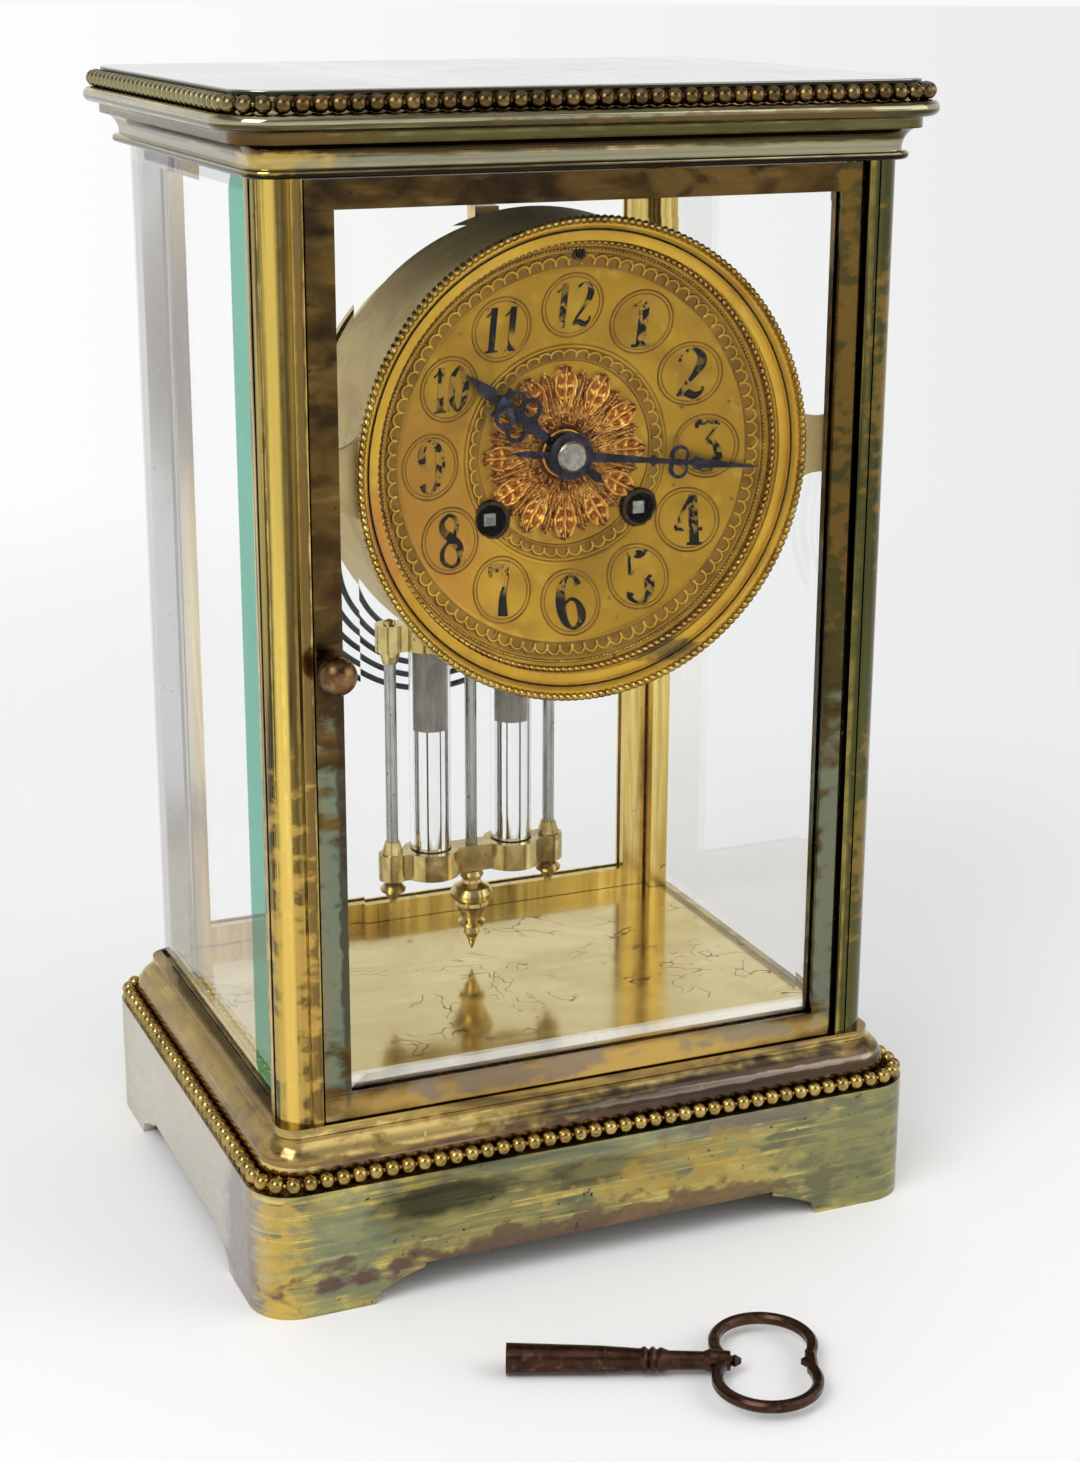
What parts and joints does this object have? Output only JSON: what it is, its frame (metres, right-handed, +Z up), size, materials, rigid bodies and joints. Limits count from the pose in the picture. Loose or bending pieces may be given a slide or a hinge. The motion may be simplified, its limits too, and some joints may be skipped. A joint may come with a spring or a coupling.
{
  "type": "four-glass mantel clock",
  "caption": "Brass mantel clock with bevelled glass on four sides, a round striking movement, a mercury pendulum and a loose winding key.",
  "frame": {"origin": "middle of the base, on the plane of its feet", "axes": "+Z up, -Y towards the dial side, +X to the right seen from the front"},
  "size_m": [0.1672, 0.2132, 0.2685],
  "materials": {
    "plinth_brass": "tarnished, brushed",
    "moulding_brass": "tarnished",
    "bead_brass": "worn bright on the tops",
    "top_brass": "polished, dulled",
    "floor_brass": "polished, crazed lacquer",
    "pillar_brass": "polished, streaked",
    "door_brass": "tarnished",
    "door_steel": "plain",
    "knob_brass": "dark patina",
    "pane_glass": "clear, bevelled",
    "gilt": "matt gilt",
    "drum_brass": "dull",
    "movement_brass": "lacquered",
    "train": "lacquered",
    "steel": "polished",
    "spring_steel": "blued",
    "gong_steel": "blue-grey",
    "bracket_iron": "plain",
    "blued_hands": "blued black",
    "pendulum_brass": "polished",
    "pendulum_steel": "satin",
    "vial_glass": "clear",
    "quicksilver": "liquid metal",
    "plug_grey": "grey packing",
    "key_iron": "dark brown patina"
  },
  "bodies": {
    "case": {"base_plinth": "plinth_brass", "base_moulding": "moulding_brass", "base_bead_ring": "bead_brass", "floor_plate": "floor_brass", "front_pillars": "pillar_brass", "back_pillars": "pillar_brass", "side_glasses": "pane_glass", "cornice": "moulding_brass", "cornice_bead_ring": "bead_brass", "top_plate": "top_brass", "case_screws": "door_steel", "mounting_straps": "drum_brass", "drum_band": "drum_brass", "bezel": "gilt", "dial": "gilt", "movement_posts": "movement_brass", "movement_front_plate": "movement_brass", "movement_back_plate": "movement_brass", "plate_pillars": "movement_brass", "suspension_cock": "movement_brass", "gong": "gong_steel", "gong_bracket": "bracket_iron"},
    "front_door": {"front_door_frame": "door_brass", "front_door_glass": "pane_glass", "front_door_pins": "door_steel"},
    "front_latch": {"front_door_knob": "knob_brass"},
    "back_door": {"back_door_frame": "door_brass", "back_door_glass": "pane_glass", "back_door_pins": "door_steel"},
    "back_latch": {"back_door_knob": "knob_brass"},
    "going_barrel_drum": {"going_barrel": "movement_brass"},
    "strike_barrel_drum": {"strike_barrel": "movement_brass"},
    "going_winder": {"going_winding_arbor": "steel", "going_mainspring": "spring_steel"},
    "strike_winder": {"strike_winding_arbor": "steel", "strike_mainspring": "spring_steel"},
    "minute_work": {"centre_arbor": "train", "cannon_pinion": "movement_brass", "minute_hand": "blued_hands", "hand_nut": "steel"},
    "hour_work": {"hour_wheel": "movement_brass", "hour_hand": "blued_hands"},
    "minute_wheel_body": {"minute_wheel": "movement_brass"},
    "intermediate": {"intermediate_wheel": "train"},
    "third": {"third_wheel": "train"},
    "escape": {"escape_wheel": "train"},
    "anchor_body": {"anchor": "steel"},
    "pin_wheel": {"strike_pin_wheel": "train"},
    "fly": {"strike_fly": "train"},
    "hammer_body": {"hammer": "steel"},
    "regulator": {"regulator_arbor": "steel"},
    "pendulum": {"suspension_spring": "steel", "pendulum_rods": "pendulum_steel", "pendulum_bars": "pendulum_brass", "mercury_vials": "vial_glass", "mercury": "quicksilver", "vial_plugs": "plug_grey"},
    "rating": {"rating_nut": "pendulum_brass"},
    "key": {"winding_key": "key_iron"}
  },
  "joints": [
    {"name": "front_door_hinge", "type": "hinge", "parent": "case", "child": "front_door", "pos_m": [0.0624, -0.05485, 0.0426], "axis": [0, 0, 1], "range_deg": [0, 90]},
    {"name": "front_latch_turn", "type": "hinge", "parent": "front_door", "child": "front_latch", "pos_m": [-0.06182, -0.0576, 0.1484], "axis": [0, 1, 0], "range_deg": [0, 90]},
    {"name": "back_door_hinge", "type": "hinge", "parent": "case", "child": "back_door", "pos_m": [-0.0624, 0.05485, 0.0426], "axis": [0, 0, 1], "range_deg": [0, 90]},
    {"name": "back_latch_turn", "type": "hinge", "parent": "back_door", "child": "back_latch", "pos_m": [0.06182, 0.0576, 0.1484], "axis": [0, -1, 0], "range_deg": [0, 90]},
    {"name": "minute_turn", "type": "hinge", "parent": "case", "child": "minute_work", "pos_m": [0, 0, 0.1875], "axis": [0, 1, 0], "continuous": true},
    {"name": "hour_turn", "type": "hinge", "parent": "case", "child": "hour_work", "pos_m": [0, 0, 0.1875], "axis": [0, 1, 0], "continuous": true},
    {"name": "minute_wheel_turn", "type": "hinge", "parent": "case", "child": "minute_wheel_body", "pos_m": [0, 0, 0.1959], "axis": [0, 1, 0], "continuous": true},
    {"name": "intermediate_turn", "type": "hinge", "parent": "case", "child": "intermediate", "pos_m": [0.01166, 0, 0.19278], "axis": [0, 1, 0], "continuous": true},
    {"name": "going_barrel_turn", "type": "hinge", "parent": "case", "child": "going_barrel_drum", "pos_m": [0.0182, 0, 0.1739], "axis": [0, 1, 0], "continuous": true},
    {"name": "third_turn", "type": "hinge", "parent": "case", "child": "third", "pos_m": [-0.00603, 0, 0.19715], "axis": [0, 1, 0], "continuous": true},
    {"name": "escape_turn", "type": "hinge", "parent": "case", "child": "escape", "pos_m": [0, 0, 0.20574], "axis": [0, 1, 0], "continuous": true},
    {"name": "going_winding", "type": "hinge", "parent": "case", "child": "going_winder", "pos_m": [0.0182, 0, 0.1739], "axis": [0, 1, 0], "continuous": true},
    {"name": "strike_winding", "type": "hinge", "parent": "case", "child": "strike_winder", "pos_m": [-0.0182, 0, 0.1739], "axis": [0, 1, 0], "continuous": true},
    {"name": "pin_wheel_turn", "type": "hinge", "parent": "case", "child": "pin_wheel", "pos_m": [-0.02503, 0, 0.19268], "axis": [0, 1, 0], "continuous": true},
    {"name": "strike_barrel_turn", "type": "hinge", "parent": "case", "child": "strike_barrel_drum", "pos_m": [-0.0182, 0, 0.1739], "axis": [0, 1, 0], "continuous": true},
    {"name": "fly_turn", "type": "hinge", "parent": "case", "child": "fly", "pos_m": [-0.02243, 0, 0.20238], "axis": [0, 1, 0], "continuous": true},
    {"name": "hammer_lift", "type": "hinge", "parent": "case", "child": "hammer_body", "pos_m": [-0.0385, 0, 0.1935], "axis": [0, 1, 0], "range_deg": [0, 12]},
    {"name": "regulator_turn", "type": "hinge", "parent": "case", "child": "regulator", "pos_m": [0, 0, 0.2325], "axis": [0, 1, 0], "range_deg": [-360, 360]},
    {"name": "pendulum_swing", "type": "hinge", "parent": "case", "child": "pendulum", "pos_m": [0, 0.0185, 0.21494], "axis": [0, 1, 0], "range_deg": [-4, 4]},
    {"name": "anchor_rock", "type": "hinge", "parent": "case", "child": "anchor_body", "pos_m": [0, 0.0185, 0.21494], "axis": [0, 1, 0], "range_deg": [-4, 4]},
    {"name": "rating_nut_turn", "type": "hinge", "parent": "pendulum", "child": "rating", "pos_m": [0, 0.0185, 0.0686], "axis": [0, 0, 1], "continuous": true},
    {"name": "key_lift", "type": "slide", "parent": "case", "child": "key", "axis": [0, 0, 1], "range_m": [0, 0.15]}
  ],
  "couplings": [
    {"joint": "hour_turn", "follows": "minute_turn", "ratio": 0.083333},
    {"joint": "minute_wheel_turn", "follows": "minute_turn", "ratio": -0.33333},
    {"joint": "intermediate_turn", "follows": "minute_turn", "ratio": -0.33333},
    {"joint": "going_barrel_turn", "follows": "minute_turn", "ratio": 0.041667},
    {"joint": "third_turn", "follows": "minute_turn", "ratio": -12},
    {"joint": "escape_turn", "follows": "minute_turn", "ratio": 132},
    {"joint": "strike_barrel_turn", "follows": "pin_wheel_turn", "ratio": -0.125},
    {"joint": "fly_turn", "follows": "pin_wheel_turn", "ratio": -8.5714},
    {"joint": "anchor_rock", "follows": "pendulum_swing", "ratio": 1}
  ]
}
